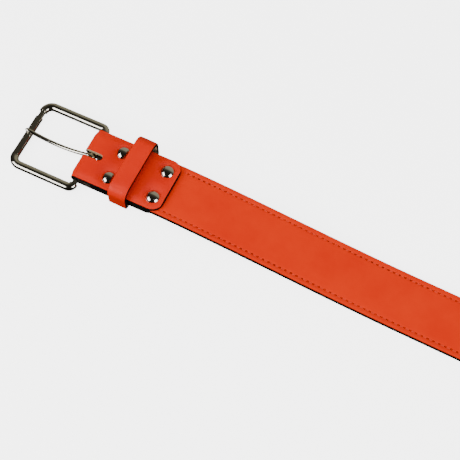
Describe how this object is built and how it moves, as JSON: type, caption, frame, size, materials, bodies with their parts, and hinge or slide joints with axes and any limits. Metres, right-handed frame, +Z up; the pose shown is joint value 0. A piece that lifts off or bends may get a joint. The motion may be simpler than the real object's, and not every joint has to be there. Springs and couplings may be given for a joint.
{
  "type": "leather belt",
  "caption": "Straight two-layer leather belt with a riveted chape, a sliding keeper loop, punched holes and a single-prong roller buckle.",
  "frame": {"origin": "centre of the resting footprint, at the height of the surface the belt lies on", "axes": "+X runs along the strap from the buckle to the pointed tip, +Y runs across the strap, +Z is up through the face"},
  "size_m": [0.8946, 0.0538, 0.02],
  "materials": {
    "strap_leather": "satin",
    "chape_leather": "satin",
    "lining_leather": "matte",
    "thread": "matte",
    "nickel": "polished"
  },
  "bodies": {
    "belt": {"strap_face": "strap_leather", "strap_lining": "lining_leather", "needle_thread_far": "thread", "needle_thread_near": "thread", "bobbin_thread_far": "thread", "bobbin_thread_near": "thread", "chape": "chape_leather", "rivet_cap_buckle_far": "nickel", "rivet_cap_buckle_near": "nickel", "rivet_cap_strap_far": "nickel", "rivet_cap_strap_near": "nickel", "rivet_post_buckle_far": "nickel", "rivet_post_buckle_near": "nickel", "rivet_post_strap_far": "nickel", "rivet_post_strap_near": "nickel"},
    "keeper_loop": {"keeper": "chape_leather"},
    "buckle": {"buckle_frame": "nickel"},
    "roller": {"buckle_roller": "nickel"},
    "prong": {"buckle_prong": "nickel"}
  },
  "joints": [
    {"name": "buckle_swing", "type": "hinge", "parent": "belt", "child": "buckle", "pos_m": [-0.39861, 0, 0.00559], "axis": [0, 1, 0], "range_deg": [-60, 50]},
    {"name": "prong_swing", "type": "hinge", "parent": "buckle", "child": "prong", "pos_m": [-0.39861, 0, 0.00559], "axis": [0, 1, 0], "range_deg": [0, 74]},
    {"name": "roller_spin", "type": "hinge", "parent": "buckle", "child": "roller", "pos_m": [-0.44453, 0, 0.0028], "axis": [0, 1, 0], "continuous": true},
    {"name": "keeper_slide", "type": "slide", "parent": "belt", "child": "keeper_loop", "axis": [1, 0, 0], "range_m": [0, 0.0094]}
  ]
}
